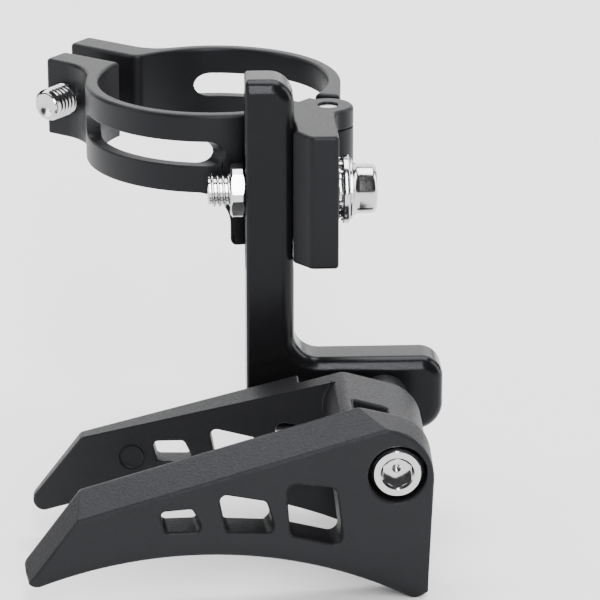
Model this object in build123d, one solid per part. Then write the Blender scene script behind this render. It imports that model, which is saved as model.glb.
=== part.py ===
from build123d import *
import os
from math import atan2, cos, degrees, radians, sin, sqrt, tan

# Seat-tube chain guide: a hinged ring clamp, an L-shaped arm on a column of the clamp,
# and a moulded cage of two flared plates on the arm's foot. Millimetres, +Z up along the
# seat tube, origin at the middle of the clamp's bore, +Y away from the chain.

# Ring clamp
BORE_DIAMETER = 34.9
BAND_WALL = 2.0
BAND_HEIGHT = 12.0
BAND_EDGE = 0.35
WINDOW_HEIGHT = 3.7
NEAR_WINDOW = (187.0, 272.3)
FAR_WINDOW = (4.5, 102.5)
WINDOW_SLANT = 52.0

# Split and its lugs
SPLIT_ANGLE = 143.0
SPLIT_OFFSET = 0.6
SPLIT_GAP = 4.15
LUG_THICKNESS = 4.9
NEAR_LUG_REACH = 10.7
FAR_LUG_REACH = 13.0
LUG_CORNER = 0.8
NEAR_LUG_BLEND = 8.5
FAR_LUG_BLEND = 6.0
FAR_BORE_CORNER = 2.0

# Hinge opposite the split
HINGE_REACH = 4.742
HINGE_SETBACK = 5.5
KNUCKLE_RADIUS = 3.8
EAR_THICKNESS = 3.0
HINGE_PIN_DIAMETER = 3.0
PIN_RECESS = 0.3
PIN_CLEARANCE = 0.06
KNUCKLE_AXIAL_GAP = 0.1
KNUCKLE_RADIAL_GAP = 0.45
BAND_END_LEAN = -4.0
KNUCKLE_STEP_ANGLE = -16.0
KNUCKLE_STEP_GAP = 1.35
KNUCKLE_ROOT_RADIUS = 1.5
KNUCKLE_ROOT_Y = -2.0
FAR_BAND_STOP = 11.8
NEAR_BAND_STOP = 4.8

# Column that carries the arm
COLUMN_SETBACK = 5.4
COLUMN_WIDTH = 6.2
COLUMN_PROUD = 3.0
COLUMN_BOTTOM = -14.3
COLUMN_CHAMFER_X = 2.0
COLUMN_BLEND = 2.0
COLUMN_EDGE = 0.4
COLUMN_SHOULDER = 1.4
SKIRT_WIDTH = 9.3
SKIRT_BLEND = 5.0
SKIRT_CORNER = 1.0

# Arm with its foot
ARM_WIDTH = 7.1
ARM_DEPTH = 8.0
ARM_TOP = 13.4
ARM_HEIGHT = 43.0
ARM_BAND_GAP = 0.55
ARM_GAP = 0.15
ARM_EDGE_RADIUS = 2.0
ARM_TOP_CORNER = 3.5
ARM_INNER_CORNER = 3.9
ARM_HEEL_CUT = 4.0
ARM_LEFT_EDGE = 0.4
FOOT_HEIGHT = 11.7
FOOT_LENGTH = 22.2
FOOT_TOP_CORNER = 3.3
FOOT_BOTTOM_CORNER = 4.2
ARM_TRAVEL_UP = 9.5
ARM_TRAVEL_DOWN = 12.0
ARM_SLOT_SLACK = 0.2

# Screws, nut and washers
SCREW_DIAMETER = 5.0
SCREW_CLEARANCE = 0.15
PIVOT_CLEARANCE = 0.08
THREAD_CLEARANCE = 0.05
SCREW_TIP = 0.6
SOCKET_ACROSS_FLATS = 4.0
ARM_SCREW_HEIGHT = -4.1
ARM_SCREW_END = 5.5
ARM_HEAD_DIAMETER = 7.3
ARM_HEAD_LENGTH = 4.05
ARM_FLANGE_DIAMETER = 9.0
ARM_FLANGE_THICKNESS = 0.4
ARM_SOCKET_DEPTH = 2.0
NUT_ACROSS_FLATS = 8.0
NUT_THICKNESS = 2.2
LOCK_WASHER_DIAMETER = 9.4
LOCK_WASHER_THICKNESS = 0.8
LOCK_WASHER_TEETH = 12
LOCK_TOOTH_DEPTH = 1.1
WASHER_DIAMETER = 10.2
WASHER_THICKNESS = 1.0
CLAMP_SCREW_REACH = 7.15
CLAMP_SCREW_END = 4.6
CLAMP_HEAD_DIAMETER = 8.5
CLAMP_HEAD_LENGTH = 5.0
CLAMP_SOCKET_DEPTH = 2.6
CLAMP_HOLE_SLACK = 0.7
CLAMP_SEAT_GAP = 0.1

# Cage
CAGE_SCREW_INSET = 8.95
CAGE_SCREW_RECESS = 0.6
CAGE_GAP = 12.8
CAGE_FLARE = 5.1
PLATE_THICKNESS = 5.8
INNER_PLATE_DEPTH = 7.05
RELIEF_DEPTH = 3.15
RELIEF_LENGTH = 12.9
PLATE_LAND = 1.0
CAGE_TOP_HEIGHT = 9.85
CAGE_TOP_SLOPE = 14.7
CAGE_TOP_LENGTH = 45.0
CAGE_PEAK = -5.3
CAGE_ROOF_SLOPE = 15.5
INNER_PEAK = -6.6
INNER_TOP_DROP = 0.8
CAGE_END_RAKE = 37.3
CAGE_BACK = 4.95
CAGE_BACK_LEAN = 2.5
CHAINRING_RADIUS = 64.0
CHAINRING_X = -29.9
CHAINRING_CROWN = -11.0
PEAK_RADIUS = 2.5
SHOULDER_RADIUS = 6.2
SHOULDER_FRONT_RADIUS = 8.0
TOE_RADIUS = 2.0
TIP_RADIUS = 1.6
BROW_RADIUS = 0.8
TOP_BEVEL = 2.4
END_BEVEL = 1.0
ROOF_BEVEL = 0.6
BACK_BEVEL = 0.15
BOTTOM_BEVEL = 2.2
BOTTOM_BEVEL_DEPTH = 0.6
BRIDGE_HUB_RADIUS = 6.2
BRIDGE_FRONT_RADIUS = 5.1
BRIDGE_FRONT = (-4.4, 3.2)
BRIDGE_FIT = 0.02
NOTCH_X = -3.2
NOTCH_LENGTH = 5.0
NOTCH_WIDTH = 5.9
NOTCH_DEPTH = 1.4
CAGE_HEAD_DIAMETER = 7.4
CAGE_HEAD_LENGTH = 3.2
CAGE_HEAD_RECESS = 0.4
CAGE_HEAD_GAP = 0.5
CAGE_SOCKET_DEPTH = 2.2
SPACER_DIAMETER = 7.3
SPACER_LENGTH = 7.9
EJECTOR_DIAMETER = 3.7
EJECTOR_DEPTH = 0.15
EJECTOR_X = -37.7
EJECTOR_Z = -5.55
WINDOW_SMALL = ((-34.2, -3.9), (-29.6, -3.7), (-28.4, -6.2), (-28.7, -7.1), (-33.4, -7.0))
WINDOW_MIDDLE = ((-25.9, -1.6), (-19.1, -3.1), (-18.0, -7.0), (-18.7, -7.9), (-24.8, -7.4))
WINDOW_LARGE = ((-16.3, -0.4), (-9.2, -1.6), (-8.1, -10.5), (-15.7, -8.4))
INNER_WINDOW_SHIFT = (-0.3, 0.8)
WINDOW_CORNERS = (0.7, 0.9, 1.3)
WINDOW_RIM = 0.3

# Places worked out from the sizes above
BORE_RADIUS = BORE_DIAMETER / 2
BAND_RADIUS = BORE_RADIUS + BAND_WALL
BAND_TOP = BAND_HEIGHT / 2
NEAR_FACE = SPLIT_OFFSET
FAR_FACE = SPLIT_OFFSET - SPLIT_GAP
CLAMP_SCREW_RADIUS = BORE_RADIUS + CLAMP_SCREW_REACH
ARM_BACK = -BAND_RADIUS - ARM_BAND_GAP
ARM_FRONT = ARM_BACK - ARM_DEPTH
HINGE_Y = ARM_BACK + HINGE_SETBACK
HINGE_X = sqrt((BORE_RADIUS + HINGE_REACH) ** 2 - HINGE_Y**2)
HINGE_ANGLE = degrees(atan2(HINGE_Y, HINGE_X))
FAR_BAND_END = HINGE_ANGLE + FAR_BAND_STOP
NEAR_BAND_END = HINGE_ANGLE + NEAR_BAND_STOP
COLUMN_LEFT = HINGE_X - COLUMN_SETBACK
COLUMN_RIGHT = COLUMN_LEFT + COLUMN_WIDTH
COLUMN_FRONT = ARM_FRONT - COLUMN_PROUD
SKIRT_LEFT = COLUMN_LEFT - SKIRT_WIDTH
ARM_RIGHT = COLUMN_LEFT - ARM_GAP
ARM_LEFT = ARM_RIGHT - ARM_WIDTH
SCREW_RADIUS = SCREW_DIAMETER / 2
HOLE_RADIUS = SCREW_RADIUS + SCREW_CLEARANCE
THREAD_RADIUS = SCREW_RADIUS + THREAD_CLEARANCE
ARM_SCREW_Y = (ARM_BACK + ARM_FRONT) / 2
FOOT_TOP = ARM_TOP - ARM_HEIGHT
FOOT_BOTTOM = FOOT_TOP - FOOT_HEIGHT
FOOT_END = ARM_RIGHT + FOOT_LENGTH
CAGE_SCREW_X = FOOT_END - CAGE_SCREW_INSET
CAGE_SCREW_Z = (FOOT_TOP + FOOT_BOTTOM) / 2
CHAINRING_Z = CHAINRING_CROWN - CHAINRING_RADIUS
INNER_FACE_Y = ARM_FRONT - SPACER_LENGTH - INNER_PLATE_DEPTH + RELIEF_DEPTH
OUTER_FACE_Y = INNER_FACE_Y - CAGE_GAP
OUTER_FRONT_Y = OUTER_FACE_Y - PLATE_THICKNESS
CAGE_HEAD_Y = OUTER_FRONT_Y + CAGE_HEAD_RECESS
REACH = 4 * BAND_RADIUS


def polar(radius, angle):
    """Point at a radius and an angle in degrees."""
    return (radius * cos(radians(angle)), radius * sin(radians(angle)))


def arc_points(radius, start, end):
    """Plan points along an arc about the bore's axis, from one angle to another."""
    steps = 12
    return [polar(radius, start + (end - start) * i / steps) for i in range(steps + 1)]


def wedge(start, end):
    """Pie-shaped sketch about the bore's axis, from one angle to another."""
    return Polygon((0, 0), *arc_points(REACH, start, end), align=None)


def upright(sketch, low, high):
    """Prism of a plan sketch between two heights."""
    return extrude(Pos(0, 0, low) * sketch, amount=high - low, dir=(0, 0, 1))


def corner_fillet(sketch, point, radius):
    """Round the corner of a sketch that lies nearest to a point."""
    corner = sketch.vertices().sort_by_distance((point[0], point[1], 0))[0]
    return fillet(corner, radius)


def on_split(x, y):
    """Plan point given along and across the split."""
    along = polar(x, SPLIT_ANGLE)
    across = polar(y, SPLIT_ANGLE + 90)
    return (along[0] + across[0], along[1] + across[1])


def lug_plan(face, outside, end, blend):
    """Plan of a split lug on the ring's disc, from its face to its outside across the split."""
    root = BORE_RADIUS - LUG_THICKNESS
    bar = Rectangle(end - root, LUG_THICKNESS)
    bar = Rot(0, 0, SPLIT_ANGLE) * Pos((end + root) / 2, (face + outside) / 2) * bar
    plan = bar + Circle(BAND_RADIUS)
    joint = on_split(sqrt(BAND_RADIUS**2 - outside**2), outside)
    plan = corner_fillet(plan, joint, blend) - split_room()
    for side in (face, outside):
        plan = corner_fillet(plan, on_split(end, side), LUG_CORNER)
    return plan


def split_room():
    """Plan of the gap between the two lugs."""
    gap = Pos(REACH / 2, (NEAR_FACE + FAR_FACE) / 2) * Rectangle(REACH, SPLIT_GAP)
    return Rot(0, 0, SPLIT_ANGLE) * gap


def band_window(start, end):
    """Cutter for a long window through the band's wall, its round ends slanted to open outwards."""
    radius = WINDOW_HEIGHT / 2
    middle = (BORE_RADIUS + BAND_RADIUS) / 2
    slant = radians(WINDOW_SLANT)
    inset = degrees(radius / cos(slant) / middle)
    low = start + inset
    high = end - inset
    depth = 3 * BAND_WALL
    inside = middle - depth * cos(slant)
    outside = middle + depth * cos(slant)
    narrowing = degrees(atan2(depth * sin(slant), inside))
    widening = degrees(atan2(depth * sin(slant), outside))
    rim = arc_points(outside / cos(radians(widening)), low - widening, high + widening)
    core = arc_points(inside / cos(radians(narrowing)), high - narrowing, low + narrowing)
    cutter = upright(Polygon(*rim, *core, align=None), -radius, radius)
    for angle, lean in ((low, -WINDOW_SLANT), (high, WINDOW_SLANT)):
        end_bore = Rot(0, 90, 0) * Cylinder(radius, 2 * depth)
        cutter += Rot(0, 0, angle) * Pos(middle, 0, 0) * Rot(0, 0, lean) * end_bore
    return cutter


def column_plan():
    """Plan of the column, with the rounded chamfer that leads to the arm's front."""
    root = HINGE_Y + KNUCKLE_RADIUS / 4
    shoulder = (COLUMN_LEFT + COLUMN_CHAMFER_X, COLUMN_FRONT)
    plan = Polygon(
        (COLUMN_LEFT, ARM_FRONT),
        shoulder,
        (COLUMN_RIGHT, COLUMN_FRONT),
        (COLUMN_RIGHT, root),
        (COLUMN_LEFT, root),
        align=None,
    )
    return corner_fillet(plan, shoulder, COLUMN_SHOULDER)


def skirt():
    """Part of the band that hangs below the ring beside the column."""
    low = COLUMN_BOTTOM
    ring = Circle(BAND_RADIUS) - Circle(BORE_RADIUS)
    wall = upright(ring & wedge(180, 360 + NEAR_BAND_END), low, -BAND_TOP)
    side = Polygon(
        (SKIRT_LEFT, low),
        (COLUMN_RIGHT, low),
        (COLUMN_RIGHT, -BAND_TOP),
        (SKIRT_LEFT - SKIRT_BLEND, -BAND_TOP),
        (SKIRT_LEFT, -BAND_TOP - SKIRT_BLEND),
        align=None,
    )
    side = corner_fillet(side, (SKIRT_LEFT, low), SKIRT_CORNER)
    hollow = Pos(SKIRT_LEFT - SKIRT_BLEND, -BAND_TOP - SKIRT_BLEND) * Circle(SKIRT_BLEND)
    return wall & extrude(Plane.XZ * (side - hollow), amount=REACH, both=True)


def knuckle_plan(room):
    """Plan of the gate's knuckle and its root on the band, with some room round it."""
    root = Pos(BAND_RADIUS - KNUCKLE_ROOT_RADIUS, KNUCKLE_ROOT_Y) * Circle(KNUCKLE_ROOT_RADIUS + room)
    pivot = Pos(HINGE_X, HINGE_Y) * Circle(KNUCKLE_RADIUS + room)
    return make_hull(root.edges() + pivot.edges())


def clamp_body():
    """Near half of the clamp: band, lug, hinge ears and the column that carries the arm."""
    bore = Circle(BORE_RADIUS)
    hinge = Pos(HINGE_X, HINGE_Y)
    outside = NEAR_FACE + LUG_THICKNESS
    plan = lug_plan(NEAR_FACE, outside, BORE_RADIUS + NEAR_LUG_REACH, NEAR_LUG_BLEND) - bore
    plan = plan & wedge(SPLIT_ANGLE, 360 + NEAR_BAND_END)
    plan += column_plan() + hinge * Circle(KNUCKLE_RADIUS) - bore
    side = COLUMN_RIGHT - HINGE_X
    meeting = (COLUMN_RIGHT, HINGE_Y - sqrt(KNUCKLE_RADIUS**2 - side**2))
    plan = corner_fillet(plan, meeting, COLUMN_BLEND)
    plan = corner_fillet(plan, (COLUMN_RIGHT, COLUMN_FRONT), COLUMN_EDGE)
    body = upright(plan, -BAND_TOP, BAND_TOP)
    body = chamfer(body.edges().group_by(Axis.Z)[-1], BAND_EDGE)
    column = upright(corner_fillet(column_plan(), (COLUMN_RIGHT, COLUMN_FRONT), COLUMN_EDGE) - bore,
                     COLUMN_BOTTOM, 0)
    column = chamfer(column.edges().group_by(Axis.Z)[0], COLUMN_EDGE)
    body += column + skirt()
    body -= band_window(*NEAR_WINDOW)
    middle = BAND_TOP - EAR_THICKNESS
    body -= upright(knuckle_plan(KNUCKLE_RADIAL_GAP), -middle, middle)
    body -= hinge * Cylinder(HINGE_PIN_DIAMETER / 2, REACH)
    screw = Pos(0, ARM_SCREW_Y, ARM_SCREW_HEIGHT) * Rot(0, 90, 0)
    body -= screw * Cylinder(HOLE_RADIUS, REACH)
    thread = Rot(0, 0, SPLIT_ANGLE) * Pos(CLAMP_SCREW_RADIUS, outside) * Rot(90, 0, 0)
    body -= thread * Cylinder(THREAD_RADIUS, 3 * LUG_THICKNESS)
    return body


def clamp_gate():
    """Far half of the clamp: band and lug, with the knuckle between the ears."""
    bore = Circle(BORE_RADIUS)
    hinge = Pos(HINGE_X, HINGE_Y)
    outside = FAR_FACE - LUG_THICKNESS
    plan = lug_plan(FAR_FACE, outside, BORE_RADIUS + FAR_LUG_REACH, FAR_LUG_BLEND)
    plan = plan & wedge(FAR_BAND_END, SPLIT_ANGLE)
    knuckle = knuckle_plan(0)
    root = Pos(BAND_RADIUS / 2, HINGE_Y / 2) * Rectangle(BAND_RADIUS, -HINGE_Y)
    root = Rot(0, 0, BAND_END_LEAN) * root
    step = Pos(0, KNUCKLE_RADIUS + KNUCKLE_STEP_GAP - REACH / 2) * Rectangle(REACH, REACH)
    step = hinge * Rot(0, 0, KNUCKLE_STEP_ANGLE) * step
    upper = plan + root - step - bore
    inside = on_split(sqrt(BORE_RADIUS**2 - FAR_FACE**2), FAR_FACE)
    upper = corner_fillet(upper, inside, FAR_BORE_CORNER)
    gate = upright(upper, -BAND_TOP, BAND_TOP)
    gate = chamfer(gate.edges().group_by(Axis.Z)[-1], BAND_EDGE)
    middle = BAND_TOP - EAR_THICKNESS - KNUCKLE_AXIAL_GAP
    gate += upright(knuckle - bore, -middle, middle)
    gate -= band_window(*FAR_WINDOW)
    gate -= hinge * Cylinder(HINGE_PIN_DIAMETER / 2 + PIN_CLEARANCE, REACH)
    hole = Rot(0, 0, SPLIT_ANGLE) * Pos(CLAMP_SCREW_RADIUS, outside) * Rot(90, 0, 0)
    gate -= hole * Cylinder(SCREW_RADIUS + CLAMP_HOLE_SLACK, 3 * LUG_THICKNESS)
    return gate


def hinge_pin():
    """Pin pressed into the ears, a little below their faces."""
    return Pos(HINGE_X, HINGE_Y) * Cylinder(HINGE_PIN_DIAMETER / 2, BAND_HEIGHT - 2 * PIN_RECESS)


def guide_arm():
    """L-shaped arm with a height slot and a threaded foot."""
    outline = Polygon(
        (ARM_LEFT, ARM_TOP),
        (ARM_LEFT, FOOT_BOTTOM + ARM_HEEL_CUT),
        (ARM_LEFT + ARM_HEEL_CUT, FOOT_BOTTOM),
        (FOOT_END, FOOT_BOTTOM),
        (FOOT_END, FOOT_TOP),
        (ARM_RIGHT, FOOT_TOP),
        (ARM_RIGHT, ARM_TOP),
        align=None,
    )
    outline = corner_fillet(outline, (ARM_RIGHT, ARM_TOP), ARM_TOP_CORNER)
    outline = corner_fillet(outline, (ARM_RIGHT, FOOT_TOP), ARM_INNER_CORNER)
    outline = corner_fillet(outline, (FOOT_END, FOOT_TOP), FOOT_TOP_CORNER)
    outline = corner_fillet(outline, (FOOT_END, FOOT_BOTTOM), FOOT_BOTTOM_CORNER)
    arm = extrude(Plane.XZ.offset(-ARM_BACK) * outline, amount=ARM_DEPTH, dir=(0, -1, 0))
    rims = arm.edges().filter_by_position(Axis.Y, ARM_FRONT, ARM_FRONT)
    rims += arm.edges().filter_by_position(Axis.Y, ARM_BACK, ARM_BACK)
    arm = fillet([e for e in rims if e.center().X > ARM_LEFT + ARM_EDGE_RADIUS / 2], ARM_EDGE_RADIUS)
    arm = chamfer(arm.faces().sort_by(Axis.X)[0].edges(), ARM_LEFT_EDGE)
    travel = ARM_TRAVEL_UP + ARM_TRAVEL_DOWN + 2 * ARM_SLOT_SLACK
    slot = Rot(0, 0, 90) * SlotCenterToCenter(travel, 2 * HOLE_RADIUS)
    middle = ARM_SCREW_HEIGHT + (ARM_TRAVEL_DOWN - ARM_TRAVEL_UP) / 2
    slot = Plane.YZ * Pos(ARM_SCREW_Y, middle) * slot
    arm -= extrude(slot, amount=REACH, both=True)
    arm -= Pos(CAGE_SCREW_X, ARM_SCREW_Y, CAGE_SCREW_Z) * Rot(90, 0, 0) * Cylinder(THREAD_RADIUS, REACH)
    return arm


def hexagon(across_flats):
    """Hexagon sketch with a given width across its flats."""
    return RegularPolygon(across_flats / 2, 6, major_radius=False)


def socket_screw(head, length, socket_depth):
    """Screw along Z with a given head above zero, a hexagon socket and a pointed shank below."""
    top = head.bounding_box().max.Z
    shank = Pos(0, 0, -length / 2) * Cylinder(SCREW_RADIUS, length)
    shank = chamfer(shank.edges().group_by(Axis.Z)[0], SCREW_TIP)
    socket = extrude(Pos(0, 0, top) * hexagon(SOCKET_ACROSS_FLATS), amount=-socket_depth)
    return head + shank - socket


def cap_head(diameter, length, edge):
    """Plain round head on zero with a rounded rim."""
    head = Pos(0, 0, length / 2) * Cylinder(diameter / 2, length)
    return fillet(head.edges().group_by(Axis.Z)[-1], edge)


def flange_head():
    """Round head on a flange, with a conical neck and a domed rim."""
    flange = ARM_FLANGE_DIAMETER / 2
    radius = ARM_HEAD_DIAMETER / 2
    neck = ARM_FLANGE_THICKNESS + (flange - radius) / 2
    dome = radius / 4
    profile = Polyline(
        (0, 0),
        (flange, 0),
        (flange, ARM_FLANGE_THICKNESS),
        (radius, neck),
        (radius, ARM_HEAD_LENGTH - dome),
        (radius - dome, ARM_HEAD_LENGTH),
        (0, ARM_HEAD_LENGTH),
        close=True,
    )
    return revolve(Plane.XZ * make_face(profile), Axis.Z)


def washer(diameter, thickness):
    """Flat ring along Z from zero up, with room for the screw."""
    ring = Circle(diameter / 2) - Circle(HOLE_RADIUS)
    return extrude(ring, amount=thickness)


def lock_washer():
    """Washer with notches round its rim that leave teeth."""
    ring = washer(LOCK_WASHER_DIAMETER, LOCK_WASHER_THICKNESS)
    pitch = 360 / LOCK_WASHER_TEETH
    width = LOCK_WASHER_DIAMETER * tan(radians(pitch / 4))
    for tooth in range(LOCK_WASHER_TEETH):
        notch = Pos(LOCK_WASHER_DIAMETER / 2, 0) * Box(2 * LOCK_TOOTH_DEPTH, width, REACH)
        ring -= Rot(0, 0, tooth * pitch) * notch
    return ring


def hex_nut():
    """Hexagon nut along Z from zero up, with its corners turned down."""
    corner = NUT_ACROSS_FLATS / sqrt(3)
    turned = Pos(0, 0, NUT_THICKNESS / 2) * Cylinder(corner, NUT_THICKNESS)
    turned = chamfer(turned.edges().filter_by(GeomType.CIRCLE), NUT_THICKNESS / 4, NUT_THICKNESS / 3)
    nut = extrude(hexagon(NUT_ACROSS_FLATS), amount=NUT_THICKNESS) & turned
    return nut - Cylinder(THREAD_RADIUS, REACH)


def arm_fasteners():
    """Screw through column and arm, with its washers at the column and its nut at the arm."""
    axis = Pos(0, ARM_SCREW_Y, ARM_SCREW_HEIGHT)
    to_right = Rot(0, 90, 0)
    flat_at = COLUMN_RIGHT + LOCK_WASHER_THICKNESS
    head_at = flat_at + WASHER_THICKNESS
    length = head_at - ARM_LEFT + ARM_SCREW_END
    screw = socket_screw(flange_head(), length, ARM_SOCKET_DEPTH)
    return {
        "arm_screw": axis * Pos(head_at, 0, 0) * to_right * screw,
        "arm_flat_washer": axis * Pos(flat_at, 0, 0) * to_right * washer(WASHER_DIAMETER, WASHER_THICKNESS),
        "arm_lock_washer": axis * Pos(COLUMN_RIGHT, 0, 0) * to_right * lock_washer(),
        "arm_nut": axis * Pos(ARM_LEFT - NUT_THICKNESS, 0, 0) * to_right * hex_nut(),
    }


def clamp_screw():
    """Screw that draws the lugs together, its thread standing out of the near lug."""
    length = SPLIT_GAP + 2 * LUG_THICKNESS + CLAMP_SEAT_GAP + CLAMP_SCREW_END
    head = cap_head(CLAMP_HEAD_DIAMETER, CLAMP_HEAD_LENGTH, CLAMP_HEAD_LENGTH / 8)
    screw = socket_screw(head, length, CLAMP_SOCKET_DEPTH)
    seat = FAR_FACE - LUG_THICKNESS - CLAMP_SEAT_GAP
    return Rot(0, 0, SPLIT_ANGLE) * Pos(CLAMP_SCREW_RADIUS, seat) * Rot(90, 0, 0) * screw


def cage_corners(drop, peak_x):
    """Corners of a cage plate's outline about its screw: brow, peak, shoulder, toe and tip."""
    slope = tan(radians(CAGE_TOP_SLOPE))
    fall = tan(radians(CAGE_ROOF_SLOPE))
    lean = radians(CAGE_BACK_LEAN)
    rake = radians(CAGE_END_RAKE)
    top = CAGE_TOP_HEIGHT - drop
    brow = (-CAGE_TOP_LENGTH, top - slope * CAGE_TOP_LENGTH)
    peak = (peak_x, top + slope * peak_x)
    shoulder_z = (peak[1] - fall * (CAGE_BACK - peak_x)) / (1 + fall * tan(lean))
    shoulder = (CAGE_BACK + tan(lean) * shoulder_z, shoulder_z)
    toe = ring_crossing(shoulder, (-sin(lean), -cos(lean)))
    tip = ring_crossing(brow, (-sin(rake), -cos(rake)))
    return brow, peak, shoulder, toe, tip


def ring_crossing(start, heading):
    """Point where a line from a start first meets the chainring's circle."""
    x = start[0] - CHAINRING_X
    z = start[1] - CHAINRING_Z
    along = x * heading[0] + z * heading[1]
    run = -along - sqrt(along**2 - (x * x + z * z - CHAINRING_RADIUS**2))
    return (start[0] + run * heading[0], start[1] + run * heading[1])


def cage_outline(drop, peak_x):
    """Side outline of a cage plate about its screw, hollowed below for the chainring."""
    brow, peak, shoulder, toe, tip = cage_corners(drop, peak_x)
    crown = (CHAINRING_X, CHAINRING_Z + CHAINRING_RADIUS)
    sides = Line(brow, peak) + Line(peak, shoulder) + Line(shoulder, toe)
    face = make_face(sides + ThreePointArc(toe, crown, tip) + Line(tip, brow))
    radii = (BROW_RADIUS, PEAK_RADIUS, SHOULDER_RADIUS, TOE_RADIUS, TIP_RADIUS)
    for corner, radius in zip((brow, peak, shoulder, toe, tip), radii):
        face = corner_fillet(face, corner, radius)
    return face


def side_bevel(angle, drop):
    """Cutter that slants a plate's straight side from its land, by a drop at its outer face."""
    brow = cage_corners(0, CAGE_PEAK)[0]
    side = Plane(origin=(brow[0], 0, brow[1]), x_dir=(0, -1, 0), z_dir=(cos(angle), 0, sin(angle)))
    section = Polygon(
        (PLATE_LAND, 0),
        (PLATE_THICKNESS, drop),
        (REACH, drop),
        (REACH, -REACH),
        (PLATE_LAND, -REACH),
        align=None,
    )
    return extrude(side * section, amount=REACH, both=True)


def end_room():
    """Room between the outer plate's land and its outer face, under a roof and a back that slant in."""
    shoulder = cage_corners(0, CAGE_PEAK)[2]
    roof = (shoulder[0] - REACH, shoulder[1] + REACH * tan(radians(CAGE_ROOF_SLOPE)))
    foot = (shoulder[0] - REACH * tan(radians(CAGE_BACK_LEAN)), shoulder[1] - REACH)
    region = Polygon(roof, (roof[0], foot[1]), foot, shoulder, align=None)
    land = corner_fillet(region, shoulder, SHOULDER_RADIUS)
    front = Pos(-BACK_BEVEL, -ROOF_BEVEL) * corner_fillet(region, shoulder, SHOULDER_FRONT_RADIUS)
    return loft([Plane.XZ.offset(PLATE_LAND) * land, Plane.XZ.offset(PLATE_THICKNESS) * front], ruled=True)


def cut_windows(plate, shift, mouth):
    """Cut the three windows through a plate, with a bevelled rim on its outer face."""
    for points, corner in zip((WINDOW_SMALL, WINDOW_MIDDLE, WINDOW_LARGE), WINDOW_CORNERS):
        shape = Polygon(*points, align=None)
        shape = Pos(*shift) * fillet(shape.vertices(), corner)
        plate -= extrude(Plane.XZ * shape, amount=REACH, both=True)
        if mouth:
            rim = offset(shape, WINDOW_RIM)
            plate -= loft([mouth * rim, mouth.offset(-WINDOW_RIM) * shape], ruled=True)
    return plate


def bridge():
    """Boss between the plates, round the cage screw, that carries on the inner plate's roof."""
    front = Pos(*BRIDGE_FRONT) * Circle(BRIDGE_FRONT_RADIUS)
    hub = Circle(BRIDGE_HUB_RADIUS)
    profile = make_hull(front.edges() + hub.edges()) & cage_outline(INNER_TOP_DROP, INNER_PEAK)
    boss = extrude(Plane.XZ * profile, amount=2 * CAGE_GAP, both=True)
    peak = cage_corners(INNER_TOP_DROP, INNER_PEAK)[1]
    notch_z = peak[1] - tan(radians(CAGE_ROOF_SLOPE)) * (NOTCH_X - INNER_PEAK)
    notch = Pos(NOTCH_X, -CAGE_GAP, notch_z) * Rot(0, CAGE_ROOF_SLOPE, 0)
    return boss - notch * Box(NOTCH_LENGTH, 2 * NOTCH_WIDTH, 2 * NOTCH_DEPTH)


def inner_plate():
    """Plate beside the arm: flared inner face, square back, and the bridge to the outer plate."""
    slab = extrude(Plane.XZ * cage_outline(INNER_TOP_DROP, INNER_PEAK), amount=REACH, both=True)
    flared = Rot(0, 0, -CAGE_FLARE) * Pos(0, REACH / 2, 0) * Box(3 * REACH, REACH, 3 * REACH)
    back = Pos(0, INNER_PLATE_DEPTH - REACH / 2, 0) * Box(3 * REACH, REACH, 3 * REACH)
    plate = cut_windows(slab & flared & back, INNER_WINDOW_SHIFT, None)
    relief_y = INNER_PLATE_DEPTH - RELIEF_DEPTH + REACH / 2
    plate -= Pos(REACH / 2 - RELIEF_LENGTH, relief_y, 0) * Box(REACH, REACH, 3 * REACH)
    mark = Plane.XZ * Pos(EJECTOR_X, EJECTOR_Z) * Circle(EJECTOR_DIAMETER / 2)
    plate -= Rot(0, 0, -CAGE_FLARE) * extrude(mark, amount=EJECTOR_DEPTH, both=True)
    near = Pos(0, (INNER_PLATE_DEPTH - RELIEF_DEPTH) / 2 - REACH / 2, 0) * Box(REACH, REACH, REACH)
    limit = Pos(0, -CAGE_GAP, 0) * Rot(0, 0, CAGE_FLARE)
    limit *= Pos(0, REACH / 2 + BRIDGE_FIT, 0) * Box(2 * REACH, REACH, 2 * REACH)
    plate += bridge() & near & limit
    plate -= Rot(90, 0, 0) * Cylinder(SCREW_RADIUS + PIVOT_CLEARANCE, REACH)
    return Pos(CAGE_SCREW_X, INNER_FACE_Y, CAGE_SCREW_Z) * plate


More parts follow.
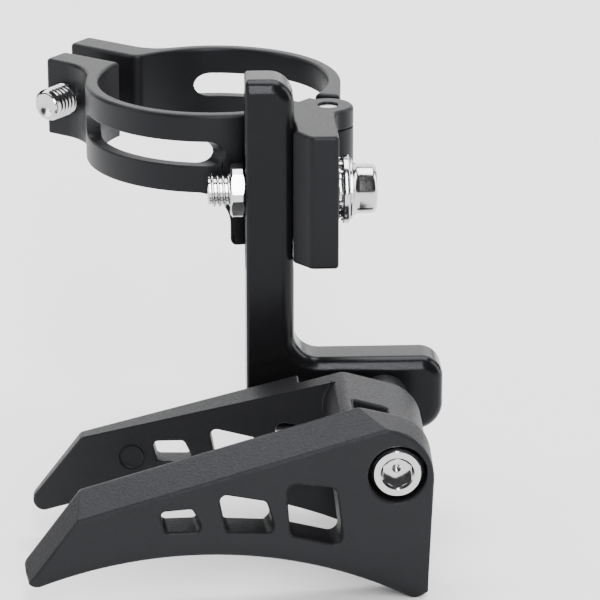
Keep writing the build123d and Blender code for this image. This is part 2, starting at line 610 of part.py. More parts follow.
def outer_plate():
    """Plate on the chain's outer side: bevelled top, end and hollow, and a seat for the screw's head."""
    plate = extrude(Plane.XZ * cage_outline(0, CAGE_PEAK), amount=PLATE_THICKNESS, dir=(0, -1, 0))
    plate -= side_bevel(radians(CAGE_TOP_SLOPE), TOP_BEVEL)
    plate -= side_bevel(radians(90 - CAGE_END_RAKE), END_BEVEL)
    plate -= Pos(0, -PLATE_LAND - REACH / 2, 0) * Box(2 * REACH, REACH, 2 * REACH) - end_room()
    hollow = Cone(CHAINRING_RADIUS, CHAINRING_RADIUS + BOTTOM_BEVEL, BOTTOM_BEVEL_DEPTH)
    hollow_y = BOTTOM_BEVEL_DEPTH / 2 - PLATE_THICKNESS
    plate -= Pos(CHAINRING_X, hollow_y, CHAINRING_Z) * Rot(90, 0, 0) * hollow
    plate = Rot(0, 0, CAGE_FLARE) * cut_windows(plate, (0, 0), Plane.XZ.offset(PLATE_THICKNESS))
    plate -= Rot(90, 0, 0) * Cylinder(SCREW_RADIUS + PIVOT_CLEARANCE, REACH)
    floor = CAGE_HEAD_Y + CAGE_HEAD_LENGTH - OUTER_FACE_Y
    seat = Rot(90, 0, 0) * Cylinder(CAGE_HEAD_DIAMETER / 2 + CAGE_HEAD_GAP, REACH)
    plate -= Pos(0, floor - REACH / 2, 0) * seat
    return Pos(CAGE_SCREW_X, OUTER_FACE_Y, CAGE_SCREW_Z) * plate


def cage_screw():
    """Screw through both plates and the spacer into the arm's foot."""
    head = cap_head(CAGE_HEAD_DIAMETER, CAGE_HEAD_LENGTH, CAGE_HEAD_LENGTH / 8)
    under_head = CAGE_HEAD_Y + CAGE_HEAD_LENGTH
    length = ARM_BACK - CAGE_SCREW_RECESS - under_head
    screw = socket_screw(head, length, CAGE_SOCKET_DEPTH)
    return Pos(CAGE_SCREW_X, under_head, CAGE_SCREW_Z) * Rot(90, 0, 0) * screw


def cage_spacer():
    """Sleeve on the cage screw between the inner plate and the arm's foot."""
    sleeve = washer(SPACER_DIAMETER, SPACER_LENGTH)
    return Pos(CAGE_SCREW_X, ARM_FRONT, CAGE_SCREW_Z) * Rot(90, 0, 0) * sleeve


def main():
    """Build every piece and write one file for each."""
    pieces = {
        "clamp_body": clamp_body(),
        "clamp_gate": clamp_gate(),
        "hinge_pin": hinge_pin(),
        "clamp_screw": clamp_screw(),
        "guide_arm": guide_arm(),
        **arm_fasteners(),
        "inner_cage_plate": inner_plate(),
        "outer_cage_plate": outer_plate(),
        "cage_screw": cage_screw(),
        "cage_spacer": cage_spacer(),
    }
    os.makedirs("parts", exist_ok=True)
    for name, piece in pieces.items():
        export_step(piece, f"parts/{name}.step")


main()
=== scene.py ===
"""Dressed model of a seat-tube chain guide: soft edges, finishes, cut threads and a plain studio.

Lengths are in millimetres and angles in degrees. Only the lights, the floor and the camera's
clipping are in metres.
"""

import logging
import math
from dataclasses import dataclass
from enum import Enum

import bpy
from mathutils import Matrix, Vector

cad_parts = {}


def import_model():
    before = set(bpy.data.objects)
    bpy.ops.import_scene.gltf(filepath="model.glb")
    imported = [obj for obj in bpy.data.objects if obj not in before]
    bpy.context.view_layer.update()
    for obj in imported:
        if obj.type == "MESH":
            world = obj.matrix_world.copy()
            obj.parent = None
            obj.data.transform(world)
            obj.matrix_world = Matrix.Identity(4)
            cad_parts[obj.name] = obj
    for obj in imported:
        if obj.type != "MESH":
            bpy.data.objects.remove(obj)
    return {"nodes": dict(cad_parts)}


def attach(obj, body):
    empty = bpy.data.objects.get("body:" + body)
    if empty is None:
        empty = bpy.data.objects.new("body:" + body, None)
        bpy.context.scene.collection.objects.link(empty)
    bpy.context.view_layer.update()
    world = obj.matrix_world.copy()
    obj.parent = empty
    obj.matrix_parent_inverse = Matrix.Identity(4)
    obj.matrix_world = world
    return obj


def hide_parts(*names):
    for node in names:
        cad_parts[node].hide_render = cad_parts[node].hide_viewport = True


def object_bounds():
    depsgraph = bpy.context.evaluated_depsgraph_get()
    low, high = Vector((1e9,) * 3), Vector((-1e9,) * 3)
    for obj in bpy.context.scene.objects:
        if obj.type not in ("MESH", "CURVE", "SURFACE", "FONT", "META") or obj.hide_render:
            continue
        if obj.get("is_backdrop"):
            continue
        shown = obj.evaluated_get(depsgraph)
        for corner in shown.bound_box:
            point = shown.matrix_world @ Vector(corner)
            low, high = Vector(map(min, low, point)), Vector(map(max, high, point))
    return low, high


logging.basicConfig(level=logging.INFO, format="%(message)s")
LOG = logging.getLogger("chain_guide")

MM = 0.001
FULL_TURN = 2 * math.pi
HEX_SIDES = 6
LATHE_STEPS = 64

# Corners closer than MERGE metres become one, and faces that meet under FLAT_ANGLE become one flat
MERGE = 1e-6
FLAT_ANGLE = 0.4

# How far a cutter runs into the next one, and how far it stands clear of the piece
OVERLAP = 0.05
CLEAR = 0.5

# A bevel's profile of one half is a round one, and large faces weigh most in the shading
ROUND_PROFILE = 0.5
FLAT_WEIGHT = 80

# Settings of the finishes' noises
PLASTIC_DETAIL = 3.0
METAL_DETAIL = 1.5
CLOUD_DETAIL = 4.0
GRAIN_ROUGHNESS = 0.6
GRAIN_SPAN = (0.3, 0.7)

Point = tuple[float, float, float]
Ball = tuple[float, float, float, float]
Colour = tuple[float, float, float]
Profile = list[tuple[float, float]]
Curve = tuple[tuple[float, float], ...]


class Grain(Enum):
    """How a surface breaks up the light."""

    BLASTED = "blasted metal"
    POLISHED = "polished coat"
    MOULDED = "moulded plastic"
    TURNED = "turned steel"


class HeadStyle(Enum):
    """Shape of a screw's head."""

    CAP = "plain round head"
    FLANGE = "round head on a flange"


class Joining(Enum):
    """What a second solid does to a piece."""

    ADD = "UNION"
    TAKE = "DIFFERENCE"
    TRIM = "INTERSECT"


@dataclass(frozen=True)
class Finish:
    """One surface finish of the part.

    The two colours are mixed by a soft cloud, and the roughness varies between its two values
    by the same grain that makes the bump.
    """

    name: str
    slot: str
    grain: Grain
    colour: Colour
    second_colour: Colour
    metallic: float
    roughness: tuple[float, float]
    grain_size: float
    grain_height: float
    specular: float = 0.5
    cloud_size: float = 9.0
    gleam: Colour = (0.90, 0.93, 1.0)

    def material(self) -> bpy.types.Material:
        """Make the node material of this finish, or return it if it is there.

        Returns:
            The material, on Object coordinates.
        """
        found = bpy.data.materials.get(self.name)
        if found:
            return found
        material = bpy.data.materials.new(self.name)
        material.use_nodes = True
        tree = material.node_tree
        shader = tree.nodes["Principled BSDF"]
        shader.inputs["Metallic"].default_value = self.metallic
        shader.inputs["Specular IOR Level"].default_value = self.specular
        shader.inputs["Specular Tint"].default_value = (*self.gleam, 1)
        place = tree.nodes.new("ShaderNodeTexCoord")
        grain = self.grain_noise(tree, place)
        self.link_colour(tree, place, shader)
        self.link_grain(tree, grain, shader)
        return material

    def grain_noise(self, tree: bpy.types.NodeTree, place: bpy.types.Node) -> bpy.types.Node:
        """Add the fine noise of the finish.

        Args:
            tree: The material's node tree.
            place: Its Texture Coordinate node.

        Returns:
            The noise node.
        """
        detail = PLASTIC_DETAIL if self.grain is Grain.MOULDED else METAL_DETAIL
        noise = tree.nodes.new("ShaderNodeTexNoise")
        noise.inputs["Scale"].default_value = 1 / (self.grain_size * MM)
        noise.inputs["Detail"].default_value = detail
        noise.inputs["Roughness"].default_value = GRAIN_ROUGHNESS
        tree.links.new(place.outputs["Object"], noise.inputs["Vector"])
        return noise

    def link_colour(
        self, tree: bpy.types.NodeTree, place: bpy.types.Node, shader: bpy.types.Node
    ) -> None:
        """Mix the two colours by a soft cloud.

        Args:
            tree: The material's node tree.
            place: Its Texture Coordinate node.
            shader: Its Principled shader.
        """
        cloud = tree.nodes.new("ShaderNodeTexNoise")
        cloud.inputs["Scale"].default_value = 1 / (self.cloud_size * MM)
        cloud.inputs["Detail"].default_value = CLOUD_DETAIL
        mix = tree.nodes.new("ShaderNodeMix")
        mix.data_type = "RGBA"
        mix.inputs["A"].default_value = (*self.colour, 1)
        mix.inputs["B"].default_value = (*self.second_colour, 1)
        tree.links.new(place.outputs["Object"], cloud.inputs["Vector"])
        tree.links.new(cloud.outputs["Fac"], mix.inputs["Factor"])
        tree.links.new(mix.outputs["Result"], shader.inputs["Base Color"])

    def link_grain(
        self, tree: bpy.types.NodeTree, grain: bpy.types.Node, shader: bpy.types.Node
    ) -> None:
        """Drive roughness and bump by the grain.

        Args:
            tree: The material's node tree.
            grain: The fine noise.
            shader: The Principled shader.
        """
        spread = tree.nodes.new("ShaderNodeMapRange")
        spread.inputs["From Min"].default_value = GRAIN_SPAN[0]
        spread.inputs["From Max"].default_value = GRAIN_SPAN[1]
        spread.inputs["To Min"].default_value = self.roughness[0]
        spread.inputs["To Max"].default_value = self.roughness[1]
        bump = tree.nodes.new("ShaderNodeBump")
        bump.inputs["Distance"].default_value = self.grain_height * MM
        tree.links.new(grain.outputs["Fac"], spread.inputs["Value"])
        tree.links.new(spread.outputs["Result"], shader.inputs["Roughness"])
        tree.links.new(grain.outputs["Fac"], bump.inputs["Height"])
        tree.links.new(bump.outputs["Normal"], shader.inputs["Normal"])

    def dress(self, piece: bpy.types.Object) -> None:
        """Put this finish on a piece.

        Args:
            piece: The finished piece.
        """
        piece.data.materials.clear()
        piece.data.materials.append(self.material())


BLASTED_BLACK = Finish(
    "blasted_black_alloy", "clamp", Grain.BLASTED, (0.0045, 0.0045, 0.0050), (0.0070, 0.0070, 0.0078),
    metallic=0.0, roughness=(0.34, 0.48), grain_size=0.16, grain_height=0.012, specular=0.19,
)
GLOSS_BLACK = Finish(
    "gloss_black_alloy", "arm", Grain.POLISHED, (0.0045, 0.0045, 0.0049), (0.0060, 0.0060, 0.0066),
    metallic=0.0, roughness=(0.17, 0.27), grain_size=0.24, grain_height=0.016, specular=0.14,
)
GRAINED_BLACK = Finish(
    "grained_black_plastic", "cage", Grain.MOULDED, (0.0085, 0.0085, 0.0093), (0.0125, 0.0125, 0.0136),
    metallic=0.0, roughness=(0.36, 0.54), grain_size=0.36, grain_height=0.060, specular=0.18,
)
BRIGHT_STEEL = Finish(
    "bright_steel", "steel", Grain.TURNED, (0.58, 0.58, 0.59), (0.44, 0.44, 0.45),
    metallic=1.0, roughness=(0.10, 0.19), grain_size=0.22, grain_height=0.003, cloud_size=2.0,
    gleam=(1.0, 1.0, 1.0),
)


def activate(piece: bpy.types.Object) -> None:
    """Select one object alone and make it the active one.

    Args:
        piece: The object.
    """
    bpy.ops.object.select_all(action="DESELECT")
    piece.select_set(True)
    bpy.context.view_layer.objects.active = piece


def apply_modifier(piece: bpy.types.Object, modifier: bpy.types.Modifier) -> None:
    """Apply one modifier of a piece."""
    activate(piece)
    bpy.ops.object.modifier_apply(modifier=modifier.name)


def combine(piece: bpy.types.Object, other: bpy.types.Object, joining: Joining) -> None:
    """Change a piece by a second solid, which is used up.

    Args:
        piece: The piece that stays.
        other: The solid that is added, taken away or kept in common.
        joining: What the second solid does.
    """
    modifier = piece.modifiers.new("combine", "BOOLEAN")
    modifier.object = other
    modifier.operation = joining.value
    modifier.solver = "EXACT"
    apply_modifier(piece, modifier)
    bpy.data.objects.remove(other)


def mend(piece: bpy.types.Object) -> None:
    """Merge doubles of a piece and turn its faces outwards.

    Args:
        piece: The piece, which stays the active object.
    """
    activate(piece)
    bpy.ops.object.mode_set(mode="EDIT")
    bpy.ops.mesh.select_all(action="SELECT")
    bpy.ops.mesh.remove_doubles(threshold=MERGE)
    bpy.ops.mesh.normals_make_consistent(inside=False)
    bpy.ops.object.mode_set(mode="OBJECT")


@dataclass(frozen=True)
class Rounding:
    """One pass of rounded edges: all edges sharper than an angle, save those inside the spared balls.

    A ball is given by its middle and its radius.
    """

    width: float
    angle: float = 30.0
    segments: int = 2
    spares: tuple[Ball, ...] = ()

    def spared(self, ends: list[Vector]) -> bool:
        """Whether both ends of an edge lie in one of the spared balls."""
        return any(all((end - Vector((x, y, z)) * MM).length < radius * MM for end in ends)
                   for x, y, z, radius in self.spares)

    def run(self, piece: bpy.types.Object) -> None:
        """Round the chosen edges of a piece.

        Args:
            piece: The merged piece.
        """
        activate(piece)
        bpy.ops.object.mode_set(mode="EDIT")
        bpy.ops.mesh.select_mode(type="EDGE")
        bpy.ops.mesh.select_all(action="DESELECT")
        bpy.ops.mesh.edges_select_sharp(sharpness=math.radians(self.angle))
        bpy.ops.object.mode_set(mode="OBJECT")
        corners = piece.data.vertices
        for edge in piece.data.edges:
            if self.spared([corners[index].co for index in edge.vertices]):
                edge.select = False
        bpy.ops.object.mode_set(mode="EDIT")
        bpy.ops.mesh.bevel(offset=self.width * MM, segments=self.segments, profile=ROUND_PROFILE,
                           affect="EDGES", clamp_overlap=False, miter_outer="ARC")
        bpy.ops.mesh.select_mode(type="VERT")
        bpy.ops.object.mode_set(mode="OBJECT")


@dataclass(frozen=True)
class Lip:
    """A strip along one upright edge that is drawn out sideways.

    The strip lies between two corners of a box. A cut across Y keeps the rest of the side flat.
    """

    low: Point
    high: Point
    move: Point
    cut: float

    def holds(self, place: Vector) -> bool:
        """Whether a corner lies in the strip."""
        return all(low * MM <= at <= high * MM for low, at, high in zip(self.low, place, self.high))

    def run(self, piece: bpy.types.Object) -> None:
        """Cut a piece across Y and draw out the strip.

        Args:
            piece: The rounded piece.
        """
        activate(piece)
        bpy.ops.object.mode_set(mode="EDIT")
        bpy.ops.mesh.select_all(action="SELECT")
        bpy.ops.mesh.bisect(plane_co=(0, self.cut * MM, 0), plane_no=(0, 1, 0))
        bpy.ops.mesh.select_all(action="DESELECT")
        bpy.ops.object.mode_set(mode="OBJECT")
        for corner in piece.data.vertices:
            corner.select = self.holds(corner.co)
        bpy.ops.object.mode_set(mode="EDIT")
        bpy.ops.transform.translate(value=tuple(Vector(self.move) * MM))
        bpy.ops.object.mode_set(mode="OBJECT")


def smooth(piece: bpy.types.Object, crease: float) -> None:
    """Smooth the shading of a rounded piece and keep its flats flat.

    Args:
        piece: The rounded piece.
        crease: The angle past which an edge stays crisp.
    """
    activate(piece)
    bpy.ops.object.shade_smooth_by_angle(angle=math.radians(crease))
    even = piece.modifiers.new("even_shading", "WEIGHTED_NORMAL")
    even.keep_sharp = True
    even.weight = FLAT_WEIGHT
    apply_modifier(piece, even)


def draw_profile(name: str, points: Profile) -> bpy.types.Object:
    """Draw an open profile in the XZ plane by extruding one point along it.

    Args:
        name: Name of the new object.
        points: Radius and height of each point.

    Returns:
        The profile as a chain of edges.
    """
    bpy.ops.object.select_all(action="DESELECT")
    first = points[0]
    bpy.ops.mesh.primitive_plane_add(size=MM, location=(0, 0, 0))
    profile = bpy.context.active_object
    profile.name = name
    bpy.ops.object.mode_set(mode="EDIT")
    bpy.ops.mesh.select_all(action="SELECT")
    bpy.ops.mesh.merge(type="CENTER")
    bpy.ops.transform.translate(value=(first[0] * MM, 0, first[1] * MM))
    for before, after in zip(points, points[1:]):
        step = ((after[0] - before[0]) * MM, 0, (after[1] - before[1]) * MM)
        bpy.ops.mesh.extrude_region_move(TRANSFORM_OT_translate={"value": step})
    bpy.ops.object.mode_set(mode="OBJECT")
    return profile


def turn_profile(name: str, points: Profile) -> bpy.types.Object:
    """Turn a profile about Z, as on a lathe.

    Args:
        name: Name of the new object.
        points: Radius and height of each point.

    Returns:
        The turned solid.
    """
    solid = draw_profile(name, points)
    bpy.ops.object.mode_set(mode="EDIT")
    bpy.ops.mesh.select_all(action="SELECT")
    bpy.ops.mesh.spin(steps=LATHE_STEPS, angle=FULL_TURN, center=(0, 0, 0), axis=(0, 0, 1))
    bpy.ops.object.mode_set(mode="OBJECT")
    mend(solid)
    return solid


def put(piece: bpy.types.Object, origin: Point, direction: Point) -> None:
    """Move a piece that was built along Z to its place, and apply the move.

    Args:
        piece: The piece, built about its own zero.
        origin: Where its zero goes.
        direction: Where its Z axis points.
    """
    turn = Vector(direction).to_track_quat("Z", "Y")
    piece.matrix_world = Matrix.Translation(Vector(origin) * MM) @ turn.to_matrix().to_4x4()
    activate(piece)
    bpy.ops.object.transform_apply(location=True, rotation=True, scale=True)


@dataclass
class SoftNode:
    """A solid of the frame, copied with rounded edges and a finish."""

    node: str
    body: str
    finish: Finish
    roundings: tuple[Rounding, ...]
    nodes: dict[str, bpy.types.Object]
    lips: tuple[Lip, ...] = ()
    crease: float = 40.0

    def build(self) -> bpy.types.Object:
        """Copy the solid, merge it, round its edges, draw out its lips and dress it.

        Returns:
            The piece that stands for the solid.
        """
        source = self.nodes[self.node]
        piece = bpy.data.objects.new(f"{self.node}_finished", source.data.copy())
        bpy.context.scene.collection.objects.link(piece)
        activate(piece)
        bpy.ops.object.mode_set(mode="EDIT")
        bpy.ops.mesh.select_all(action="SELECT")
        bpy.ops.mesh.remove_doubles(threshold=MERGE)
        bpy.ops.mesh.dissolve_limited(angle_limit=math.radians(FLAT_ANGLE))
        bpy.ops.object.mode_set(mode="OBJECT")
        bpy.ops.mesh.customdata_custom_splitnormals_clear()
        for rounding in self.roundings:
            rounding.run(piece)
        for lip in self.lips:
            lip.run(piece)
        smooth(piece, self.crease)
        self.finish.dress(piece)
        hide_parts(self.node)
        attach(piece, self.body)
        LOG.info("%s on %s", piece.name, self.body)
        return piece


@dataclass
class ThreadedScrew:
    """A hexagon-socket screw with a cut thread, built along Z with its seat at zero.

    The flange's curve lists insets from its radius and heights over it, and the dome's curve
    insets from the head's radius and depths under its top. A tooth's sizes are shares of the pitch.
    """

    node: str
    body: str
    seat: Point
    direction: Point
    style: HeadStyle
    head_diameter: float
    head_length: float
    shank_length: float
    thread_length: float
    socket_depth: float
    rim_share: float = 1 / 8
    flange_diameter: float = 9.0
    flange_thickness: float = 0.4
    flange_chamfer: float = 0.12
    flange_edge: float = 0.1
    flange_curve: Curve = ((0.07, 0.0), (0.34, 0.14), (0.60, 0.36), (0.78, 0.68))
    throat_height: float = 1.1
    dome_curve: Curve = ((0.02, 0.8), (0.12, 0.45), (0.34, 0.17), (0.65, 0.03), (0.95, 0.0))
    socket_width: float = 4.0
    cutter_rise: float = 1.0
    mouth_depth: float = 0.35
    mouth_inset: float = 0.25
    mouth_flare: float = 0.16
    drill_radius: float = 0.65
    drill_depth: float = 0.8
    drill_wall: float = 0.4
    diameter: float = 5.0
    pitch: float = 0.8
    tooth_depth: float = 0.58
    tooth_rise: tuple[float, float] = (0.16, 0.46)
    tooth_fall: tuple[float, float] = (0.54, 0.84)
    spare_turns: int = 2
    coil_steps: int = 40
    tip: float = 0.6
    tip_land: float = 0.2
    tip_dish: Curve = ((0.0, 0.5), (1.0, 0.22))
    crest_room: float = 0.001
    thread_runout: float = 0.4
    neck_lap: float = 0.3
    neck_slack: float = 0.02
    cone_inset: float = 0.5
    cone_drop: float = 0.2
    crease: float = 28.0

    def head_profile(self) -> Profile:
        """Draw the head from its seat to the middle of its top.

        Returns:
            Radius and height of each point.
        """
        radius = self.head_diameter / 2
        top = self.head_length
        if self.style is HeadStyle.CAP:
            rim = top * self.rim_share
            return [(0, 0), (radius, 0), (radius, top - rim), (radius - rim, top), (0, top)]
        flange = self.flange_diameter / 2
        low = self.flange_thickness
        chamfer = self.flange_chamfer
        skirt = [(flange - inset, low + height) for inset, height in self.flange_curve]
        dome = [(radius - inset, top - depth) for inset, depth in self.dome_curve]
        return [(0, 0), (flange - chamfer, 0), (flange, chamfer), (flange, low - self.flange_edge),
                *skirt, (radius, low + self.throat_height), *dome, (0, top)]

    def thread(self) -> bpy.types.Object:
        """Wind one tooth about Z, with spare turns at both ends, and close the coil.

        Returns:
            The untrimmed thread, from below the tip upwards.
        """
        crest = self.diameter / 2
        root = crest - self.tooth_depth * self.pitch
        (foot, brow), (edge, heel) = self.tooth_rise, self.tooth_fall
        tooth = [(root, 0), (root, foot), (crest, brow), (crest, edge), (root, heel), (root, 1)]
        low = -self.shank_length - self.spare_turns * self.pitch
        turns = math.ceil((self.thread_length + 2 * self.spare_turns * self.pitch) / self.pitch)
        coil = draw_profile(f"{self.node}_coil", [(r, low + self.pitch * z) for r, z in tooth])
        wind = coil.modifiers.new("wind", "SCREW")
        wind.angle = FULL_TURN
        wind.screw_offset = self.pitch * MM
        wind.iterations = turns
        wind.steps = self.coil_steps
        wind.render_steps = self.coil_steps
        wind.use_merge_vertices = True
        wind.merge_threshold = MERGE
        apply_modifier(coil, wind)
        bpy.ops.object.mode_set(mode="EDIT")
        bpy.ops.mesh.select_all(action="SELECT")
        bpy.ops.mesh.remove_doubles(threshold=MERGE)
        bpy.ops.mesh.select_all(action="DESELECT")
        bpy.ops.mesh.select_non_manifold()
        bpy.ops.mesh.edge_face_add()
        bpy.ops.object.mode_set(mode="OBJECT")
        mend(coil)
        return coil

    def shank(self) -> bpy.types.Object:
        """Build the shank: a thread trimmed to a chamfered, dished tip, and a plain neck.

        Returns:
            The shank, which runs a little into the head.
        """
        crest = self.diameter / 2
        end = -self.shank_length
        neck = -(self.shank_length - self.thread_length)
        land = crest - self.tip
        lap = self.neck_lap
        room = turn_profile(f"{self.node}_room", [
            *[(radius, end + height) for radius, height in self.tip_dish],
            (land - self.tip_land, end), (land, end), (crest, end + self.tip),
            (crest + self.crest_room, neck + lap), (crest - self.thread_runout, neck + 2 * lap),
            (0, neck + 2 * lap)])
        threaded = self.thread()
        combine(threaded, room, Joining.TRIM)
        side = crest - self.neck_slack
        low = neck - self.cone_drop
        plain = turn_profile(f"{self.node}_neck", [
            (0, low), (crest - self.cone_inset, low), (side, neck + lap), (side, lap), (0, lap)])
        combine(threaded, plain, Joining.ADD)
        return threaded

    def socket(self) -> bpy.types.Object:
        """Build the cutter for the hexagon socket, its countersunk mouth and its drill point.

        Returns:
            The cutter, which stands clear of the head's top.
        """
        top = self.head_length
        floor = top - self.socket_depth
        corner = self.socket_width / math.sqrt(3)
        depth = (self.socket_depth + self.cutter_rise) * MM
        middle = top * MM - self.socket_depth * MM + depth / 2
        bpy.ops.object.select_all(action="DESELECT")
        bpy.ops.mesh.primitive_cylinder_add(
            vertices=HEX_SIDES, radius=corner * MM, depth=depth, location=(0, 0, middle))
        cutter = bpy.context.active_object
        bpy.ops.object.transform_apply(location=True, rotation=True, scale=True)
        low = top - self.mouth_depth
        wide = corner + self.mouth_flare
        mouth = turn_profile(f"{self.node}_mouth", [
            (0, low), (corner - self.mouth_inset, low), (wide, top + OVERLAP), (wide, top + CLEAR),
            (0, top + CLEAR)])
        combine(cutter, mouth, Joining.ADD)
        point = turn_profile(f"{self.node}_point", [
            (0, floor - self.drill_depth), (self.drill_radius, floor - self.drill_wall),
            (self.drill_radius, floor + OVERLAP), (0, floor + OVERLAP)])
        combine(cutter, point, Joining.ADD)
        return cutter

    def build(self) -> bpy.types.Object:
        """Build the whole screw in its place.

        Returns:
            The piece that stands for the plain screw of the frame.
        """
        screw = turn_profile(f"{self.node}_threaded", self.head_profile())
        combine(screw, self.socket(), Joining.TAKE)
        combine(screw, self.shank(), Joining.ADD)
        mend(screw)
        bpy.ops.object.shade_smooth_by_angle(angle=math.radians(self.crease))
        put(screw, self.seat, self.direction)
        BRIGHT_STEEL.dress(screw)
        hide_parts(self.node)
        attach(screw, self.body)
        LOG.info("%s on %s, %d faces", screw.name, self.body, len(screw.data.polygons))
        return screw


@dataclass
class HexNut:
    """A hexagon nut with turned corners, built along Z with its seat at zero."""

    node: str
    body: str
    seat: Point
    direction: Point
    across: float
    thickness: float
    bore: float
    turn: float = 30.0
    corner: float = 4.0
    corner_drop: float = 0.36
    face_inset: float = 0.15
    mouth: float = 0.4
    crease: float = 20.0

    def build(self) -> bpy.types.Object:
        """Build the nut in its place.

        Returns:
            The piece that stands for the plain nut of the frame.
        """
        high = self.thickness
        bpy.ops.object.select_all(action="DESELECT")
        bpy.ops.mesh.primitive_cylinder_add(
            vertices=HEX_SIDES, radius=self.across / math.sqrt(3) * MM, depth=high * MM,
            location=(0, 0, high / 2 * MM), rotation=(0, 0, math.radians(self.turn)))
        nut = bpy.context.active_object
        nut.name = f"{self.node}_faceted"
        bpy.ops.object.transform_apply(location=True, rotation=True, scale=True)
        face = self.across / 2 - self.face_inset
        drop = self.corner_drop
        room = turn_profile(f"{self.node}_room", [
            (0, 0), (face, 0), (self.corner, drop), (self.corner, high - drop), (face, high), (0, high)])
        combine(nut, room, Joining.TRIM)
        wide = self.bore + self.mouth
        hole = turn_profile(f"{self.node}_hole", [
            (0, -CLEAR), (wide, -CLEAR), (wide, 0), (self.bore, self.mouth),
            (self.bore, high - self.mouth), (wide, high), (wide, high + CLEAR), (0, high + CLEAR)])
        combine(nut, hole, Joining.TAKE)
        mend(nut)
        bpy.ops.object.shade_smooth_by_angle(angle=math.radians(self.crease))
        put(nut, self.seat, self.direction)
        BRIGHT_STEEL.dress(nut)
        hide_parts(self.node)
        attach(nut, self.body)
        LOG.info("%s on %s", nut.name, self.body)
        return nut


@dataclass
class RingClamp:
    """The hinged ring with its column, its pin and the screw across its split."""

    nodes: dict[str, bpy.types.Object]
    edges: tuple[Rounding, ...] = (Rounding(0.2, spares=((17.35, -30.75, 5.8, 0.7),)),)
    pin_edges: tuple[Rounding, ...] = (Rounding(0.15),)
    column_lips: tuple[Lip, ...] = (
        Lip((11.3, -28.35, -20.0), (11.7, -27.7, 7.0), (-0.35, 0.0, 0.0), cut=-27.3),)
    crease: float = 21.0
    split_angle: float = 143.0
    screw_radius: float = 24.6
    seat_across: float = -8.55

    def seat(self) -> tuple[Point, Point]:
        """Find where the clamp screw sits, across the ring's split.

        Returns:
            The seat of its head and the direction that its head faces.
        """
        angle = math.radians(self.split_angle)
        along = Vector((math.cos(angle), math.sin(angle), 0))
        across = Vector((-math.sin(angle), math.cos(angle), 0))
        place = along * self.screw_radius + across * self.seat_across
        return tuple(place), tuple(-across)

    def build(self) -> None:
        """Build and dress every piece of the clamp."""
        SoftNode("clamp_body", "clamp", BLASTED_BLACK, self.edges, self.nodes,
                 lips=self.column_lips, crease=self.crease).build()
        SoftNode("clamp_gate", "gate", BLASTED_BLACK, self.edges, self.nodes, crease=self.crease).build()
        SoftNode("hinge_pin", "clamp", BRIGHT_STEEL, self.pin_edges, self.nodes).build()
        seat, facing = self.seat()
        ThreadedScrew("clamp_screw", "clamp_screw", seat, facing, HeadStyle.CAP,
                      head_diameter=8.5, head_length=5.0, shank_length=18.65, thread_length=17.0,
                      socket_depth=2.6).build()


@dataclass
class HeightArm:
    """The L-shaped arm with its screw, nut and washers."""

    nodes: dict[str, bpy.types.Object]
    screw_seat: Point = (19.4, -24.0, -4.1)
    nut_seat: Point = (4.12, -24.0, -4.1)
    arm_edges: tuple[Rounding, ...] = (Rounding(0.15),)
    tooth_edges: tuple[Rounding, ...] = (Rounding(0.08),)
    washer_edges: tuple[Rounding, ...] = (Rounding(0.22, segments=3),)

    def build(self) -> None:
        """Build and dress the arm and what holds it."""
        SoftNode("guide_arm", "arm", GLOSS_BLACK, self.arm_edges, self.nodes).build()
        HexNut("arm_nut", "clamp", self.nut_seat, (-1, 0, 0),
               across=7.4, thickness=2.17, bore=2.52).build()
        SoftNode("arm_lock_washer", "clamp", BRIGHT_STEEL, self.tooth_edges, self.nodes).build()
        SoftNode("arm_flat_washer", "clamp", BRIGHT_STEEL, self.washer_edges, self.nodes).build()
        ThreadedScrew("arm_screw", "clamp", self.screw_seat, (1, 0, 0), HeadStyle.FLANGE,
                      head_diameter=7.3, head_length=4.05, shank_length=20.75, thread_length=12.0,
                      socket_depth=2.0).build()


@dataclass
class ChainCage:
    """The two flared plates with their screw and spacer.

    The outer plate's balls keep three corners as they are, where a bevel would cross itself.
    """

    nodes: dict[str, bpy.types.Object]
    screw_seat: Point = (24.5, -54.8, -35.45)
    outer_spares: tuple[Ball, ...] = (
        (25.1, -57.9, -29.2, 0.6), (6.5, -54.1, -42.2, 1.3), (29.0, -57.8, -53.6, 0.5))
    inner_edges: tuple[Rounding, ...] = (
        Rounding(0.42, angle=50.0, segments=3, spares=((-13.2, -36.3, -41.0, 2.6),)),)
    spacer_edges: tuple[Rounding, ...] = (Rounding(0.25),)

    def outer_edges(self) -> tuple[Rounding, ...]:
        """Passes over the outer plate: its square edges, then its blunt ones."""
        return (Rounding(0.42, angle=50.0, segments=3, spares=self.outer_spares),
                Rounding(0.12, angle=34.0, spares=self.outer_spares))

    def build(self) -> None:
        """Build and dress the cage."""
        SoftNode("inner_cage_plate", "cage", GRAINED_BLACK, self.inner_edges, self.nodes).build()
        SoftNode("outer_cage_plate", "cage", GRAINED_BLACK, self.outer_edges(), self.nodes).build()
        SoftNode("cage_spacer", "arm", GRAINED_BLACK, self.spacer_edges, self.nodes).build()
        ThreadedScrew("cage_screw", "arm", self.screw_seat, (0, -1, 0), HeadStyle.CAP,
                      head_diameter=7.4, head_length=3.2, shank_length=34.2, thread_length=9.0,
                      socket_depth=2.2).build()


@dataclass(frozen=True)
class Softbox:
    """One soft light that faces the part, with its place and size in metres and its power in watts."""

    name: str
    place: Point
    size: tuple[float, float]
    power: float

    def hang(self) -> None:
        """Add the light to the scene and turn it to the part."""
        data = bpy.data.lights.new(self.name, "AREA")
        data.shape = "RECTANGLE"
        data.size, data.size_y = self.size
        data.energy = self.power
        light = bpy.data.objects.new(self.name, data)
        bpy.context.scene.collection.objects.link(light)
        light.location = self.place
        light.rotation_mode = "QUATERNION"
        light.rotation_quaternion = Vector(self.place).to_track_quat("Z", "Y")


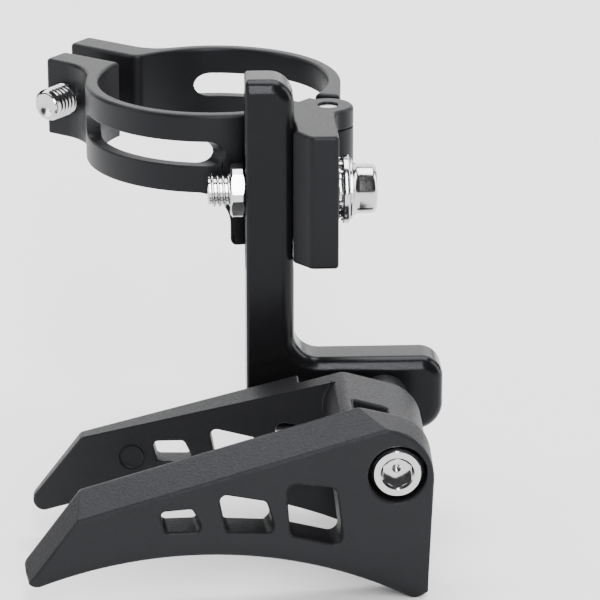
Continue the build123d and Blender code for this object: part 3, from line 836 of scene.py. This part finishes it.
@dataclass
class Studio:
    """Plain pale floor, soft lights and the camera."""

    floor_height: float
    floor_size: float = 8.0
    floor_colour: Colour = (0.92, 0.92, 0.92)
    floor_roughness: float = 0.9
    floor_specular: float = 0.1
    camera_place: Point = (-9.12, -512.82, 154.01)
    right: Point = (0.99905, -0.04362, 0.0)
    up: Point = (0.01472, 0.33710, 0.94136)
    back: Point = (-0.04106, -0.94046, 0.33742)
    lens: float = 210.0
    sensor: float = 36.0
    clip: tuple[float, float] = (0.01, 20.0)
    sky_strength: float = 0.05
    softboxes: tuple[Softbox, ...] = (
        Softbox("overhead", (0.02, 0.30, 0.90), (1.0, 0.7), 19.0),
        Softbox("back", (0.0, 1.1, 0.45), (2.4, 0.8), 18.0),
        Softbox("key", (0.05, -0.90, 0.63), (0.14, 1.43), 18.0),
        Softbox("left_strip", (-0.75, -0.10, 0.25), (0.30, 0.9), 4.0),
        Softbox("right_strip", (0.80, 0.10, 0.25), (0.35, 0.9), 7.0),
    )

    def camera(self) -> None:
        """Put the camera at the photograph's viewing angle."""
        data = bpy.data.cameras.new("camera")
        data.lens = self.lens
        data.sensor_width = self.sensor
        data.clip_start, data.clip_end = self.clip
        camera = bpy.data.objects.new("camera", data)
        bpy.context.scene.collection.objects.link(camera)
        basis = Matrix((self.right, self.up, self.back)).transposed().to_4x4()
        camera.matrix_world = Matrix.Translation(Vector(self.camera_place) * MM) @ basis
        bpy.context.scene.camera = camera

    def floor(self) -> None:
        """Lay the pale floor under the part."""
        bpy.ops.object.select_all(action="DESELECT")
        bpy.ops.mesh.primitive_plane_add(size=self.floor_size, location=(0, 0, self.floor_height))
        floor = bpy.context.active_object
        floor.name = "floor"
        material = bpy.data.materials.new("pale_floor")
        material.use_nodes = True
        shader = material.node_tree.nodes["Principled BSDF"]
        shader.inputs["Base Color"].default_value = (*self.floor_colour, 1)
        shader.inputs["Roughness"].default_value = self.floor_roughness
        shader.inputs["Specular IOR Level"].default_value = self.floor_specular
        floor.data.materials.append(material)
        floor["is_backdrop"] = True

    def sky(self) -> None:
        """Light the room evenly."""
        world = bpy.data.worlds.new("room")
        world.use_nodes = True
        shade = world.node_tree.nodes["Background"]
        shade.inputs["Color"].default_value = (1, 1, 1, 1)
        shade.inputs["Strength"].default_value = self.sky_strength
        bpy.context.scene.world = world

    def build(self) -> None:
        """Set up the whole studio."""
        self.camera()
        self.floor()
        self.sky()
        for softbox in self.softboxes:
            softbox.hang()


def main() -> None:
    """Load the frame and build the dressed part and its studio."""
    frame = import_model()
    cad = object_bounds()
    nodes = frame["nodes"]
    RingClamp(nodes).build()
    HeightArm(nodes).build()
    ChainCage(nodes).build()
    Studio(cad[0].z).build()


if __name__ == "__main__":
    main()
